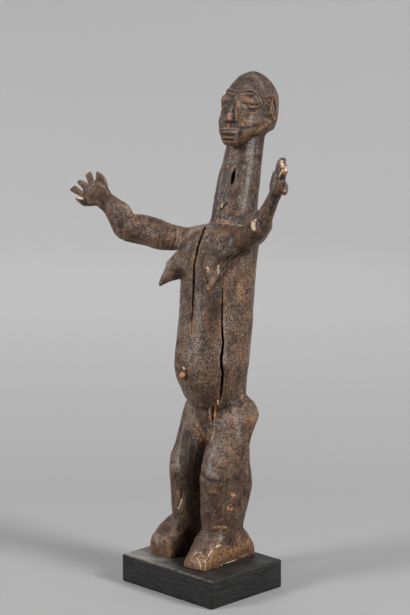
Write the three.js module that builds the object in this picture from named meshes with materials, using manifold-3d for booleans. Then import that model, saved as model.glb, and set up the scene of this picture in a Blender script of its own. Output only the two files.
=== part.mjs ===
// A carved wooden standing woman with raised arms, on a low rectangular plinth.
// Millimetres, +Z up. The figure faces -Y, its left side is +X, and the origin is the middle of the
// plinth's underside.
import * as THREE from "three";
import { mergeVertices } from "three/addons/utils/BufferGeometryUtils.js";
import Module from "manifold-3d";

// Driving sizes
const LEG_LENGTH = 123; // soles to hips
const TORSO_LENGTH = 141; // hips to shoulders
const NECK_LENGTH = 76.5; // shoulders to chin
const HEAD_LENGTH = 59.5; // chin to crown
const PLINTH_HEIGHT = 24;
const PLINTH_BEVEL = 0.8;
const PLINTH_SIDE_MARGIN = 11.2; // plinth past the widest foot, on both sides
const PLINTH_FRONT_MARGIN = 10.9; // plinth in front of the toes that reach furthest
const PLINTH_BACK_MARGIN = 1.8; // plinth behind the heel that reaches furthest
const CRACK_WIDTH = 1.8;
const CRACK_DEPTH = 7;
const SLOT_WIDTH = 3; // the open split in the neck
const SLOT_LENGTH = 13;
const SLOT_DEPTH = 8;

const SHOULDER_HEIGHT = LEG_LENGTH + TORSO_LENGTH;
const CHIN_HEIGHT = SHOULDER_HEIGHT + NECK_LENGTH;
const FIGURE_HEIGHT = CHIN_HEIGHT + HEAD_LENGTH;

const LEFT = 1;
const RIGHT = -1;
const UP = new THREE.Vector3(0, 0, 1);

const wasm = await Module();
wasm.setup();

const vec = (x, y, z) => new THREE.Vector3(x, y, z);

// Solids

function solid(geometry) {
  const bare = geometry.clone();
  bare.deleteAttribute("normal");
  bare.deleteAttribute("uv");
  const merged = mergeVertices(bare);
  return new wasm.Manifold(
    new wasm.Mesh({
      numProp: 3,
      vertProperties: merged.attributes.position.array,
      triVerts: new Uint32Array(merged.index.array),
    }),
  );
}

function geometryOf(manifold) {
  const made = manifold.getMesh();
  return new THREE.BufferGeometry()
    .setAttribute("position", new THREE.BufferAttribute(made.vertProperties, 3))
    .setIndex(new THREE.BufferAttribute(made.triVerts, 1));
}

const join = (solids) => solids.reduce((whole, piece) => whole.add(piece));

// Closed skin over rings of points, with a middle point that closes each end.
function skin(rings, startPoint, endPoint) {
  const sides = rings[0].length;
  const points = [startPoint, ...rings.flat(), endPoint];
  const at = (ring, side) => 1 + ring * sides + (side % sides);
  const last = rings.length - 1;
  const index = [];
  for (let side = 0; side < sides; side++) {
    index.push(0, at(0, side + 1), at(0, side));
    for (let ring = 0; ring < last; ring++) {
      index.push(at(ring, side), at(ring, side + 1), at(ring + 1, side + 1));
      index.push(at(ring, side), at(ring + 1, side + 1), at(ring + 1, side));
    }
    index.push(points.length - 1, at(last, side), at(last, side + 1));
  }
  const positions = points.flatMap((p) => [p.x, p.y, p.z]);
  const geometry = new THREE.BufferGeometry();
  geometry.setAttribute("position", new THREE.Float32BufferAttribute(positions, 3));
  geometry.setIndex(index);
  return solid(geometry);
}

const CAP_RINGS = 3;

// Places along an axis, each with the share of its full section that the ring there has.
// A cap closes an end with a quarter round of that length. Without one the end is cut flat.
function ringPlaces(start, end, step, startCap, endCap) {
  const places = [];
  const capTurn = (ring) => (ring / CAP_RINGS) * (Math.PI / 2);
  for (let ring = CAP_RINGS - 1; startCap > 0 && ring > 0; ring--) {
    const turn = capTurn(ring);
    places.push({ place: start + startCap * (1 - Math.sin(turn)), share: Math.cos(turn) });
  }
  const length = end - start - startCap - endCap;
  const count = Math.max(1, Math.round(length / step));
  for (let ring = 0; ring <= count; ring++) {
    places.push({ place: start + startCap + (length * ring) / count, share: 1 });
  }
  for (let ring = 1; endCap > 0 && ring < CAP_RINGS; ring++) {
    const turn = capTurn(ring);
    places.push({ place: end - endCap * (1 - Math.sin(turn)), share: Math.cos(turn) });
  }
  return places;
}

const power = (value, exponent) => Math.sign(value) * Math.abs(value) ** exponent;

// The low edge, high edge and half width of a form at a place on its axis, on smooth curves through its
// stations.
function edgesAt({ stations, length = 1 }, place) {
  const places = stations.map(([share]) => share * length);
  const edges = stations.flatMap(([, ...values]) => values);
  return [...new THREE.CubicInterpolant(places, edges, 3).evaluate(place)];
}

// A form carved along an axis. Each station is [place on the axis, low edge, high edge, half width], the
// edges measured on the frame's second axis and the half width on its first. The place is a share of the
// form's length, or is in millimetres if the form has no length. Squareness 2 is an ellipse, and more is
// squarer. The low half of each section can have a squareness of its own.
function loft(form) {
  const { stations, length = 1, step, sides, startCap = 0, endCap = 0 } = form;
  const { squareness = 2, lowSquareness = squareness, frame = frameAt(vec(0, 0, 0)) } = form;
  const start = stations[0][0] * length;
  const end = stations[stations.length - 1][0] * length;
  const point = (x, y, z) => vec(x, y, z).applyMatrix4(frame);
  const middle = (place) => {
    const [low, high] = edgesAt(form, place);
    return point(0, (low + high) / 2, place);
  };
  const rings = ringPlaces(start, end, step, startCap, endCap).map(({ place, share }) => {
    const [low, high, half] = edgesAt(form, place);
    return Array.from({ length: sides }, (_, side) => {
      const turn = (side / sides) * 2 * Math.PI;
      const exponent = 2 / (Math.sin(turn) < 0 ? lowSquareness : squareness);
      const x = half * share * power(Math.cos(turn), exponent);
      const reach = ((high - low) / 2) * share * power(Math.sin(turn), exponent);
      return point(x, (low + high) / 2 + reach, place);
    });
  });
  return skin(rings, middle(start), middle(end));
}

// A frame on the skin of an upright form, at a turn in degrees from its front toward the given side and at a
// share of its length, with its second axis pointing out of the form and its third axis up.
function onSkin(form, side, turn, share, outward = 0) {
  const { length, frame, squareness = 2, lowSquareness = squareness } = form;
  const height = share * length;
  const [low, high, half] = edgesAt(form, height);
  const angle = THREE.MathUtils.degToRad(turn);
  const out = vec(side * Math.sin(angle), -Math.cos(angle), 0);
  const exponent = out.y < 0 ? lowSquareness : squareness;
  const depth = (high - low) / 2;
  const across = Math.abs(out.x / half) ** exponent;
  const ahead = Math.abs(out.y / depth) ** exponent;
  const reach = (across + ahead) ** (-1 / exponent);
  const place = out.clone().multiplyScalar(reach + outward);
  place.y += (low + high) / 2;
  place.z = height;
  const sideways = vec(0, 0, 0).crossVectors(out, UP);
  return new THREE.Matrix4().makeBasis(sideways, out, UP).setPosition(place).premultiply(frame);
}

// A ridge or a blade that runs over the skin of a form, through the given [turn, share of the length] places.
// Outline gives the section's corners, as [sideways, outward] pairs that go round to the left, from the share
// of the way.
function overSkin(form, side, places, outline) {
  const frames = places.map(([turn, share]) => onSkin(form, side, turn, share));
  const path = frames.map((frame) => new THREE.Vector3().setFromMatrixPosition(frame));
  const outwards = frames.map((frame) => new THREE.Vector3().setFromMatrixColumn(frame, 1));
  const rings = path.map((place, step) => {
    const ahead = path[Math.min(step + 1, path.length - 1)];
    const behind = path[Math.max(step - 1, 0)];
    const along = ahead.clone().sub(behind).normalize();
    const sideways = vec(0, 0, 0).crossVectors(outwards[step], along).normalize();
    const outward = vec(0, 0, 0).crossVectors(along, sideways);
    return outline(step / (path.length - 1)).map(([x, y]) =>
      place.clone().addScaledVector(sideways, x).addScaledVector(outward, y),
    );
  });
  return skin(rings, path[0], path[path.length - 1]);
}

// A frame whose third axis runs from one point to another, with its second axis as near up as it can be.
function frameAlong(from, to, up = UP) {
  const along = to.clone().sub(from).normalize();
  const across = vec(0, 0, 0).crossVectors(up, along).normalize();
  const rise = vec(0, 0, 0).crossVectors(along, across);
  return new THREE.Matrix4().makeBasis(across, rise, along).setPosition(from);
}

const frameAt = (point) => new THREE.Matrix4().makeTranslation(point.x, point.y, point.z);

// An ellipsoid with its radii on the axes of a frame.
function bead(frame, radii, sides = 10) {
  const ball = new THREE.SphereGeometry(1, sides, Math.round(sides * 0.7));
  return solid(ball.scale(radii.x, radii.y, radii.z).applyMatrix4(frame));
}

// Torso, neck and chest, placed by shares of the torso's and the neck's length

const HIPS = frameAt(vec(0, 0, LEG_LENGTH));
const SHOULDERS = frameAt(vec(0, 0, SHOULDER_HEIGHT));

const TORSO = {
  length: TORSO_LENGTH,
  frame: HIPS,
  stations: [
    [0, 0, 36, 22],
    [0.05, -6, 39, 25.5],
    [0.099, -11.5, 41, 26],
    [0.17, -17, 41, 28],
    [0.248, -20.5, 42, 30],
    [0.333, -20, 43, 30.4],
    [0.447, -17, 45.5, 30.6],
    [0.589, -14.5, 47.5, 30.3],
    [0.73, -13.5, 49.5, 30],
    [0.872, -10.5, 52, 30],
    [0.986, -3, 54, 30],
    [1.071, 7, 55, 27],
  ],
  step: 10.5,
  sides: 26,
  startCap: 6,
  endCap: 5,
};

const CHEST = {
  length: TORSO_LENGTH,
  frame: HIPS,
  stations: [
    [0.787, -13, 34, 15],
    [0.851, -12.4, 42, 22],
    [0.901, -10.2, 44, 28.5],
    [0.95, -6, 45, 31.5],
    [1.014, -1, 47, 33],
    [1.085, 4.5, 47, 29],
  ],
  step: 7,
  sides: 20,
  squareness: 2.8,
  startCap: 2,
  endCap: 4,
};

const NECK = {
  length: NECK_LENGTH,
  frame: SHOULDERS,
  stations: [
    [-0.026, 15, 55, 20],
    [0.157, 18, 55, 18.5],
    [0.34, 20.7, 56, 17.3],
    [0.588, 25.6, 58.8, 17],
    [0.758, 30, 60.8, 16.2],
    [0.967, 35.5, 64, 15],
    [1.15, 38, 66.5, 15],
  ],
  step: 11,
  sides: 18,
  squareness: 2.4,
};

const GROIN = {
  length: TORSO_LENGTH,
  frame: HIPS,
  stations: [
    [-0.22, 9, 26, 4],
    [-0.135, 4, 32, 10],
    [-0.035, 1, 36, 17],
    [0.05, 0, 38, 20],
  ],
  step: 9,
  sides: 14,
  startCap: 3,
};

const NAVEL = { turn: -2, share: 0.234, radii: vec(3.4, 2.6, 3) };

// A breast's stations are placed by shares of the way from its base to its tip. Both are measured from the
// middle of the body at the height of the shoulders.
const BREAST = {
  base: [12.4, 6.3, -2.3],
  stations: [
    [0, -8, 3, 9],
    [0.21, -11, 5.8, 13],
    [0.42, -10.5, 6.8, 11],
    [0.63, -7, 6, 7.2],
    [0.82, -4, 4, 4],
    [1, -2, 2.2, 2.3],
  ],
  step: 7,
  sides: 14,
  endCap: 2,
};
const LEFT_BREAST_TIP = [28.8, -19.6, -34];
const RIGHT_BREAST_TIP = [28.5, -20.5, -38];

// The long splits down the body, as [turn, share of its length] places on the torso.
const FRONT_CRACK = [
  [-6, 1.106],
  [1, 0.95],
  [6.7, 0.766],
  [7, 0.61],
  [10, 0.44],
];
const SIDE_CRACK = [
  [51, 0.773],
  [55, 0.553],
  [61.5, 0.333],
  [64.7, 0.262],
  [60.5, 0.156],
  [49, 0.057],
  [44, -0.007],
];
const CRACK_LIFT = 6; // how far the blade that cuts a crack stands out of the torso
const SLOT_TURN = 25;
const SLOT_SHARE = 0.676;

function torso() {
  const navel = onSkin(TORSO, LEFT, NAVEL.turn, NAVEL.share);
  return [loft(TORSO), loft(CHEST), loft(NECK), loft(GROIN), bead(navel, NAVEL.radii)];
}

function breast(side) {
  const place = ([x, y, z]) => vec(side * x, y, SHOULDER_HEIGHT + z);
  const base = place(BREAST.base);
  const tip = place(side === LEFT ? LEFT_BREAST_TIP : RIGHT_BREAST_TIP);
  return loft({ ...BREAST, length: base.distanceTo(tip), frame: frameAlong(base, tip) });
}

function crack(places) {
  const outline = (share) => {
    const open = 0.3 + 0.7 * Math.sin(Math.PI * share);
    const half = (open * CRACK_WIDTH) / 2;
    const depth = open * CRACK_DEPTH;
    return [
      [-half, CRACK_LIFT],
      [-half, 0],
      [0, -depth],
      [half, 0],
      [half, CRACK_LIFT],
    ];
  };
  return overSkin(TORSO, LEFT, places, outline);
}

function neckSlot() {
  const radii = vec(SLOT_WIDTH / 2, SLOT_DEPTH, SLOT_LENGTH / 2);
  return bead(onSkin(NECK, LEFT, SLOT_TURN, SLOT_SHARE), radii);
}

// Legs and feet

const STANCE = 19; // from the middle to the axis of each leg
const LEG = {
  length: LEG_LENGTH,
  stations: [
    [0.049, -9, 26, 12],
    [0.236, -12, 25, 13],
    [0.341, -13, 28.5, 14.5],
    [0.455, -13, 32.5, 15.3],
    [0.52, -13.4, 33.6, 15.5],
    [0.577, -14, 33.8, 15.5],
    [0.691, -9.9, 29.6, 15.5],
    [0.813, -3.5, 30, 16],
    [0.959, 4, 38.7, 17.5],
    [1.122, 10, 38, 16],
  ],
  step: 8.5,
  sides: 18,
  squareness: 2.6,
  endCap: 15,
};
const STEP_APART = 3; // the left leg stands this far in front of the right one

// The feet. Each is a wedge with a flat sole, cut from a form that runs on below it.
const SUNK = -9;
const FOOT = {
  step: 8,
  sides: 14,
  squareness: 3,
  startCap: 3,
  endCap: 2,
};
const LEFT_FOOT = {
  ...FOOT,
  heel: [16.8, 37.2],
  toesOut: THREE.MathUtils.degToRad(2.5),
  stations: [
    [0, SUNK, 8, 9.5],
    [8, SUNK, 19, 12],
    [18, SUNK, 32, 12.6],
    [33, SUNK, 35.5, 12.8],
    [45, SUNK, 33.5, 13],
    [53, SUNK, 25, 13],
    [61, SUNK, 14.5, 12.4],
    [68.7, SUNK, 5.5, 11],
  ],
};
const RIGHT_FOOT = {
  ...FOOT,
  heel: [17.5, 38.5],
  toesOut: THREE.MathUtils.degToRad(9.5),
  stations: [
    [0, SUNK, 9, 9.5],
    [8, SUNK, 22, 12],
    [18, SUNK, 34, 13],
    [34, SUNK, 36, 14],
    [46, SUNK, 31, 15.4],
    [56, SUNK, 22, 15.6],
    [63, SUNK, 13, 13],
  ],
};

function leg(side) {
  return loft({ ...LEG, frame: frameAt(vec(side * STANCE, (-side * STEP_APART) / 2, 0)) });
}

function foot(side) {
  const form = side === LEFT ? LEFT_FOOT : RIGHT_FOOT;
  const heel = vec(side * form.heel[0], form.heel[1], 0);
  const ahead = vec(side * Math.sin(form.toesOut), -Math.cos(form.toesOut), 0);
  const wedge = loft({ ...form, frame: frameAlong(heel, heel.clone().add(ahead)) });
  const ground = new THREE.BoxGeometry(FIGURE_HEIGHT, FIGURE_HEIGHT, FIGURE_HEIGHT);
  return wedge.subtract(solid(ground.translate(0, 0, -FIGURE_HEIGHT / 2)));
}

// Head, laid out by shares of its length round an upright axis of its own, with the face toward -Y, then
// turned a little to its left

const HEAD_AXIS = 55; // behind the middle of the body
const HEAD_TURN = THREE.MathUtils.degToRad(8);
const HEAD_FRAME = new THREE.Matrix4()
  .makeRotationZ(HEAD_TURN)
  .setPosition(0, HEAD_AXIS, CHIN_HEIGHT);

// The head stands on a flat ledge that runs round the nape and under the ears, with the jaw below it in
// front.
const HEAD = {
  length: HEAD_LENGTH,
  stations: [
    [0.156, -27.8, 25, 16.6],
    [0.21, -27.4, 26, 17.8],
    [0.294, -26.5, 27, 19.2],
    [0.429, -24.4, 29.8, 18],
    [0.563, -20.8, 30, 18],
    [0.697, -16.8, 28, 17.3],
    [0.798, -13, 24, 14.9],
    [0.899, -8.5, 18.7, 11.1],
    [1, -1, 11, 4.5],
  ],
  step: 5,
  sides: 26,
  squareness: 2.3,
  lowSquareness: 3.6,
  endCap: 4,
  frame: HEAD_FRAME,
};

const JAW = {
  length: HEAD_LENGTH,
  stations: [
    [0, -25.5, -14, 6.4],
    [0.059, -27.4, -12, 10.5],
    [0.143, -27.9, -5, 14.4],
    [0.21, -27.4, 4, 16.8],
  ],
  step: 4,
  sides: 18,
  squareness: 3,
  frame: HEAD_FRAME,
};

const MUZZLE = {
  length: HEAD_LENGTH,
  stations: [
    [0, -28.2, -8, 6.4],
    [0.05, -29.6, -6, 8.6],
    [0.143, -30, -6, 9.2],
    [0.244, -29.4, -6, 10.2],
    [0.294, -27, -6, 9.4],
  ],
  step: 4.5,
  sides: 16,
  squareness: 6,
  frame: HEAD_FRAME,
};
const NOSE = {
  length: HEAD_LENGTH,
  stations: [
    [0.319, -29, -16, 4.4],
    [0.402, -29, -15, 4],
    [0.469, -27.8, -14, 3.4],
    [0.538, -25.5, -12, 2.8],
    [0.605, -23, -10, 2.4],
    [0.664, -19.8, -8, 2.2],
    [0.748, -14.5, -5, 2],
  ],
  step: 5,
  sides: 10,
  squareness: 1.6,
  frame: HEAD_FRAME,
};
const LIP_DEPTH = 1.4; // how far the middle of each lip lies inside the muzzle
const LIPS = [
  { share: 0.193, radii: vec(8.4, 2.8, 1.5) },
  { share: 0.116, radii: vec(8, 2.9, 1.6) },
];
const EYE_SOCKET = { turn: 37, share: 0.6, out: 2.3, radii: vec(9.8, 4.2, 9) };
const EYE = { turn: 37, share: 0.58, out: -2.2, radii: vec(7.4, 3.5, 6) };
const BROW = [
  [15, 0.738],
  [29, 0.758],
  [43, 0.738],
  [54, 0.677],
  [62, 0.597],
  [65, 0.529],
];
const EAR = [
  [90, 0.664],
  [101, 0.681],
  [112, 0.622],
  [115, 0.496],
  [115, 0.361],
  [106, 0.277],
  [92, 0.252],
];
const EAR_LOBE = { turn: 102, share: 0.462, out: 0, radii: vec(2.6, 2, 4) };

// A round ridge over the head that thins out toward its ends.
function ridge(side, places, thickness, corners = 6) {
  const outline = (share) => {
    const size = thickness * (0.55 + 0.45 * Math.sin(Math.PI * share));
    return Array.from({ length: corners }, (_, corner) => {
      const turn = (corner / corners) * 2 * Math.PI;
      return [size * Math.cos(turn), size * Math.sin(turn)];
    });
  };
  return overSkin(HEAD, side, places, outline);
}

function head() {
  const onHead = (side, { turn, share, out, radii }) =>
    bead(onSkin(HEAD, side, turn, share, out), radii);
  const lips = LIPS.map(({ share, radii }) => bead(onSkin(MUZZLE, LEFT, 0, share, -LIP_DEPTH), radii));
  const sockets = [LEFT, RIGHT].map((side) => onHead(side, EYE_SOCKET));
  const skull = sockets.reduce((whole, socket) => whole.subtract(socket), loft(HEAD));
  const pieces = [skull, loft(JAW), loft(MUZZLE), loft(NOSE), ...lips];
  for (const side of [LEFT, RIGHT]) {
    pieces.push(onHead(side, EYE), onHead(side, EAR_LOBE));
    pieces.push(ridge(side, BROW, 1.3), ridge(side, EAR, 2.3));
  }
  return join(pieces);
}

// Arms and hands

const UPPER_ARM = {
  stations: [
    [-8, -12, 9, 10],
    [18, -11, 8, 10],
    [30, -13.5, 10.4, 10.5],
    [42, -12.8, 12.6, 10.5],
    [54, -12.3, 13, 9.5],
    [61, -12.3, 11.5, 8.6],
    [68, -10, 9, 6.8],
  ],
  step: 9,
  sides: 14,
  endCap: 5,
};
const FOREARM = {
  stations: [
    [-8, -9, 6, 5.8],
    [0, -12.3, 9, 6.6],
    [6, -11, 12.5, 6.6],
    [13, -9, 14, 6.3],
    [19, -8, 11.8, 5.8],
    [33, -7.4, 7.4, 4.4],
  ],
  step: 6,
  sides: 14,
  startCap: 4,
};
// The left arm is the slimmer one, without the swelling that the right arm has on each side of its elbow.
const LEFT_UPPER_ARM = {
  ...UPPER_ARM,
  stations: [
    [-8, -12, 9, 10],
    [18, -11, 8, 10],
    [30, -13, 9, 10.5],
    [42, -12.8, 10.5, 10.5],
    [54, -12.3, 10.5, 9.5],
    [61, -12, 8.5, 8.6],
    [66, -10, 6, 6.8],
  ],
};
const LEFT_FOREARM = {
  ...FOREARM,
  stations: [
    [-8, -8, 5, 5],
    [0, -10.4, 7.4, 5.6],
    [8, -9, 6.4, 5.5],
    [19, -6.8, 5.4, 4.9],
    [33, -6.2, 5.6, 3.8],
  ],
};
const PALM = {
  stations: [
    [-2, -7, 7, 5],
    [6, -10, 9.5, 4.6],
    [13, -11, 8.5, 4],
    [17, -8, 6, 3],
  ],
  step: 5,
  sides: 12,
  endCap: 3,
};
const FAN_REACH = 9; // from the wrist to where the digits' axes meet

// Each digit of the fan, from the little finger to the thumb. Turn is from the hand's axis, in degrees.
const DIGITS = [
  { turn: -74, reach: 18, root: 5, tip: 3.5 },
  { turn: -46, reach: 22, root: 3.2, tip: 2 },
  { turn: -20, reach: 18.5, root: 3, tip: 2 },
  { turn: 15, reach: 17.5, root: 3.2, tip: 2 },
  { turn: 44, reach: 18, root: 6, tip: 2.2 },
];
const DIGIT = { step: 8, sides: 7, endCap: 1.5, half: 2.6 };

// Each arm lies nearly in one upright plane. A joint is [reach along that plane from the shoulder, rise, and
// how far it stands behind the plane]. Spread is how far forward of sideways a plane runs, in degrees.
// A shoulder is measured from the middle of the body at the height of the shoulders.
const ARMS = [
  {
    side: LEFT,
    shoulder: [25, 20, 0],
    spread: 29.4,
    elbow: [56, 24, -0.4],
    wrist: [78, 49, 4.4],
    upperArm: LEFT_UPPER_ARM,
    forearm: LEFT_FOREARM,
    hand: { spread: 38, axis: 68, lean: 0.2, girth: 0.84 },
  },
  {
    side: RIGHT,
    shoulder: [25, 20, -1],
    spread: 29.4,
    elbow: [62, 7, 0],
    wrist: [81.5, 30.3, 0],
    upperArm: UPPER_ARM,
    forearm: FOREARM,
    hand: { spread: 29.4, axis: 48, lean: 0, girth: 1 },
  },
];

// Gives points in an upright plane through an origin that runs out to one side and forward.
function upright(side, origin, spread) {
  const angle = THREE.MathUtils.degToRad(spread);
  return (reach, rise, back = 0) =>
    vec(
      origin.x + side * (reach * Math.cos(angle) + back * Math.sin(angle)),
      origin.y - reach * Math.sin(angle) + back * Math.cos(angle),
      origin.z + rise,
    );
}

function hand(side, wrist, { spread, axis, lean, girth }) {
  const stations = PALM.stations.map(([place, low, high, half]) =>
    [place, low * girth, high * girth, half * girth]);
  const plane = upright(side, wrist, spread);
  const at = ([reach, rise]) => plane(reach, rise, rise * lean);
  const out = (degrees, reach, [x, y] = [0, 0]) => {
    const angle = THREE.MathUtils.degToRad(degrees);
    return [x + reach * Math.cos(angle), y + reach * Math.sin(angle)];
  };
  const fan = out(axis, FAN_REACH);
  const palm = loft({ ...PALM, stations, frame: frameAlong(wrist, at(fan)) });
  const digits = DIGITS.map(({ turn, reach, root, tip }) =>
    loft({
      ...DIGIT,
      stations: [
        [0, -root, root, DIGIT.half + 0.4],
        [reach * 0.6, -root, root, DIGIT.half],
        [reach, -tip, tip, DIGIT.half - 0.8],
      ],
      frame: frameAlong(at(fan), at(out(axis + turn, reach, fan))),
    }),
  );
  return [palm, ...digits];
}

function arm({ side, shoulder: [x, y, z], spread, elbow, wrist, upperArm, forearm, hand: pose }) {
  const plane = upright(side, vec(side * x, y, SHOULDER_HEIGHT + z), spread);
  const elbowPoint = plane(...elbow);
  const wristPoint = plane(...wrist);
  return [
    loft({ ...upperArm, frame: frameAlong(plane(0, 0), elbowPoint) }),
    loft({ ...forearm, frame: frameAlong(elbowPoint, wristPoint) }),
    ...hand(side, wristPoint, pose),
  ];
}

// The whole figure

function figureSolid() {
  const pieces = [...torso(), head(), ...ARMS.flatMap(arm)];
  for (const side of [LEFT, RIGHT]) {
    pieces.push(breast(side), leg(side), foot(side));
  }
  const cuts = [crack(FRONT_CRACK), crack(SIDE_CRACK), neckSlot()];
  return cuts.reduce((whole, cutter) => whole.subtract(cutter), join(pieces));
}

// The plinth, sized and placed from the feet that stand on it

function boundsOf(manifold) {
  const geometry = geometryOf(manifold);
  geometry.computeBoundingBox();
  return geometry.boundingBox;
}

const feet = boundsOf(join([foot(LEFT), foot(RIGHT)]));
const plinthHalfWidth = Math.max(-feet.min.x, feet.max.x) + PLINTH_SIDE_MARGIN;
const plinthFront = feet.min.y - PLINTH_FRONT_MARGIN;
const plinthBack = feet.max.y + PLINTH_BACK_MARGIN;

// A block with eased edges that stands on the ground, centred on the origin.
function block(width, depth, height, bevel) {
  const halfWidth = width / 2 - bevel;
  const halfDepth = depth / 2 - bevel;
  const outline = new THREE.Shape([
    new THREE.Vector2(-halfWidth, -halfDepth),
    new THREE.Vector2(halfWidth, -halfDepth),
    new THREE.Vector2(halfWidth, halfDepth),
    new THREE.Vector2(-halfWidth, halfDepth),
  ]);
  return new THREE.ExtrudeGeometry(outline, {
    depth: height - 2 * bevel,
    bevelSize: bevel,
    bevelThickness: bevel,
    bevelSegments: 2,
  }).translate(0, 0, bevel);
}

const figure = new THREE.Mesh(
  geometryOf(figureSolid()),
  new THREE.MeshStandardMaterial({ color: 0x4a3c33, roughness: 0.7, metalness: 0 }),
);
figure.name = "figure";
figure.position.set(0, -(plinthFront + plinthBack) / 2, PLINTH_HEIGHT);

const plinth = new THREE.Mesh(
  block(2 * plinthHalfWidth, plinthBack - plinthFront, PLINTH_HEIGHT, PLINTH_BEVEL),
  new THREE.MeshStandardMaterial({ color: 0x1b1b1c, roughness: 0.6, metalness: 0 }),
);
plinth.name = "plinth";

const group = new THREE.Group();
group.add(figure, plinth);

export default group;
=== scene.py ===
import math

import bmesh
import bpy
import numpy as np
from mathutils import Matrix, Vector
from mathutils.bvhtree import BVHTree


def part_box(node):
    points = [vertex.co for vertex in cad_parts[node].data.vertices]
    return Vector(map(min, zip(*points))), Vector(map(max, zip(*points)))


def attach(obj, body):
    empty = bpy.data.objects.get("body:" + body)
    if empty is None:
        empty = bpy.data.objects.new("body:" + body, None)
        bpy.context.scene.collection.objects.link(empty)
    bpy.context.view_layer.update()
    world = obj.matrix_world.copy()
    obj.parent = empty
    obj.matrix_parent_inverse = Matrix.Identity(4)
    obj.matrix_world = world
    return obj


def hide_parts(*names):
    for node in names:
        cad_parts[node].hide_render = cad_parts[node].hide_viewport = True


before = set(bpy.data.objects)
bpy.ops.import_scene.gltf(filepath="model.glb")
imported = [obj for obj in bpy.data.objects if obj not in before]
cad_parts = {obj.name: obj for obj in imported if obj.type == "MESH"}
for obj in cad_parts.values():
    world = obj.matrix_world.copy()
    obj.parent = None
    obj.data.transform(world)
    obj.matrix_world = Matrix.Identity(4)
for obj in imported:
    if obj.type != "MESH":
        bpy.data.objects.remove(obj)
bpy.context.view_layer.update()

# Lengths in this script are millimetres, and become metres where an object is made.
MM = 0.001
PLINTH_HEIGHT = 24
VOXEL = 0.6
FIGURE_TRIANGLES = 192000
SAME_PLACE = 0.0005
CHUNK = 20000  # how many points are measured at once

# The photograph, and the camera that took it
PHOTO_WIDTH = 410
PHOTO_HEIGHT = 615
LENS = 100
SENSOR = 36
FOCAL_PIXELS = LENS / SENSOR * PHOTO_HEIGHT
CAMERA_AT = np.array([973.09, -968.95, 456.29])
CAMERA_LOOKS_AT = np.array([2.07, 2.07, 234.12])

# The head turns on its own upright axis.
HEAD_AXIS = 55
HEAD_TURN = math.radians(8)

random = np.random.default_rng(11)


# Meshes as arrays


def read(collection, name, width, kind=np.float32):
    values = np.empty(len(collection) * width, dtype=kind)
    collection.foreach_get(name, values)
    return values.reshape(-1, width)


def new_object(name, mesh):
    made = bpy.data.objects.new(name, mesh)
    bpy.context.scene.collection.objects.link(made)
    return made


def mesh_from(name, points, faces):
    mesh = bpy.data.meshes.new(name)
    mesh.from_pydata((np.asarray(points) * MM).tolist(), [], faces)
    mesh.update()
    return mesh


def mesh_of(shape, name):
    made = bpy.data.meshes.new(name)
    shape.to_mesh(made)
    shape.free()
    return made


def mesh_with(mesh, name, solids):
    """A copy of a mesh with more closed solids in it, each given as points and faces."""
    shape = bmesh.new()
    shape.from_mesh(mesh)
    for points, faces in solids:
        corners = [shape.verts.new(Vector(point) * MM) for point in points]
        for face in faces:
            shape.faces.new([corners[index] for index in face])
    return mesh_of(shape, name)


def welded(mesh):
    """A copy of a mesh with one vertex at each corner."""
    shape = bmesh.new()
    shape.from_mesh(mesh)
    bmesh.ops.remove_doubles(shape, verts=shape.verts, dist=SAME_PLACE * MM)
    return mesh_of(shape, "welded")


def dress(piece, material):
    """Shades a piece smoothly and gives it one material."""
    piece.data.polygons.foreach_set("use_smooth", [True] * len(piece.data.polygons))
    piece.data.materials.clear()
    piece.data.materials.append(material)


def apply_modifiers(piece):
    graph = bpy.context.evaluated_depsgraph_get()
    mesh = bpy.data.meshes.new_from_object(piece.evaluated_get(graph))
    piece.modifiers.clear()
    piece.data = mesh


def subtract(piece, points, faces):
    """Cuts closed solids, given as one list of points and one of faces, out of a piece."""
    mesh = mesh_with(bpy.data.meshes.new("none"), "cutter", [facing_out(points, faces)])
    cutter = new_object("cutter", mesh)
    cutting = piece.modifiers.new("cut", "BOOLEAN")
    cutting.operation = "DIFFERENCE"
    cutting.solver = "MANIFOLD"
    cutting.object = cutter
    apply_modifiers(piece)
    bpy.data.objects.remove(cutter)


def make_dense(piece, voxel):
    """Turns a piece into an even mesh, fine enough to carve."""
    remesh = piece.modifiers.new("remesh", "REMESH")
    remesh.mode = "VOXEL"
    remesh.voxel_size = voxel * MM
    apply_modifiers(piece)


# Noise

LATTICE = 48
LATTICE_VALUES = random.uniform(-1, 1, (LATTICE, LATTICE, LATTICE))


def noise(points, size):
    """Smooth noise from -1 to 1, with lumps of that size, which is one number or one for each axis."""
    place = points / np.asarray(size)
    cell = np.floor(place).astype(int)
    part = place - cell
    part = part * part * (3 - 2 * part)
    total = np.zeros(len(points))
    for corner in np.ndindex(2, 2, 2):
        pick = (cell + corner) % LATTICE
        weight = np.prod(np.where(corner, part, 1 - part), axis=1)
        total += weight * LATTICE_VALUES[tuple(pick.T)]
    return total


def ease(value, start, end):
    """0 up to start, 1 from end, and smooth between them."""
    share = np.clip((value - start) / (end - start), 0, 1)
    return share * share * (3 - 2 * share)


def band(value, start, end, soft):
    """1 between start and end, and 0 further than soft outside them."""
    return ease(value, start - soft, start) * (1 - ease(value, end, end + soft))


def near(points, path, width):
    """1 on a path, falling to 0 over about twice the width."""
    result = np.zeros(len(points))
    if len(path) == 0:
        return result
    reach = 2.6 * width
    inside = np.all((points > path.min(0) - reach) & (points < path.max(0) + reach), axis=1)
    chosen = np.flatnonzero(inside)
    for start in range(0, len(chosen), CHUNK):
        some = chosen[start : start + CHUNK]
        away = np.linalg.norm(points[some, None] - path[None], axis=2).min(1)
        result[some] = np.exp(-((away / width) ** 2))
    return result


# Places seen in the photograph

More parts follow.
